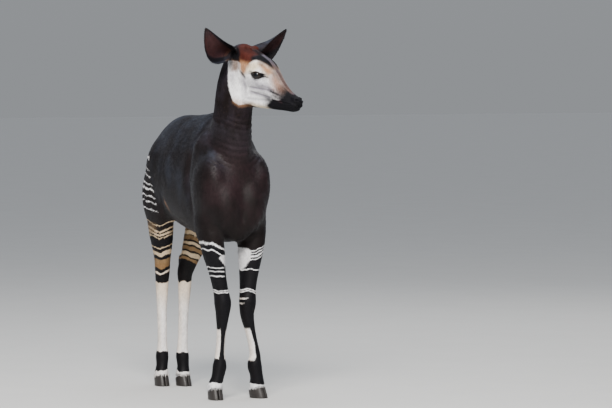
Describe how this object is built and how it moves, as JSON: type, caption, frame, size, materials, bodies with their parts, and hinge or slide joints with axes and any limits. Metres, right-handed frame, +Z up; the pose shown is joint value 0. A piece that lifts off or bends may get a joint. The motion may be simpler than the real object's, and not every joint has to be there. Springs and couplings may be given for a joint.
{
  "type": "okapi",
  "caption": "Life-size okapi, a slender young female, standing square with its head turned to its left: dark body, striped legs, pale cheeks, cupped ears and cloven hooves.",
  "frame": {"origin": "on the floor, under the middle of the animal's bounding box", "axes": "+Z up, -Y the way the body faces, +X the animal's left; the head turns 29 degrees towards +X"},
  "size_m": [0.419, 1.2392, 1.669],
  "materials": {
    "hide_coat": "short dark chocolate fur with a soft sheen",
    "leg_coat": "short fur, banded in black, brown and cream",
    "hoof_horn": "dull grey-brown horn",
    "eye_dark": "wet and nearly black"
  },
  "bodies": {
    "root": {"ear_left": "hide_coat", "ear_right": "hide_coat", "eye_left": "eye_dark", "eye_right": "eye_dark", "head": "hide_coat", "hoof_fore_left_left_claw": "hoof_horn", "hoof_fore_left_right_claw": "hoof_horn", "hoof_fore_right_left_claw": "hoof_horn", "hoof_fore_right_right_claw": "hoof_horn", "hoof_hind_left_left_claw": "hoof_horn", "hoof_hind_left_right_claw": "hoof_horn", "hoof_hind_right_left_claw": "hoof_horn", "hoof_hind_right_right_claw": "hoof_horn", "leg_fore_left_lower": "leg_coat", "leg_fore_left_upper": "leg_coat", "leg_fore_right_lower": "leg_coat", "leg_fore_right_upper": "leg_coat", "leg_hind_left_lower": "leg_coat", "leg_hind_left_upper": "leg_coat", "leg_hind_right_lower": "leg_coat", "leg_hind_right_upper": "leg_coat", "neck": "hide_coat", "tail": "hide_coat", "torso": "hide_coat"}
  },
  "joints": []
}
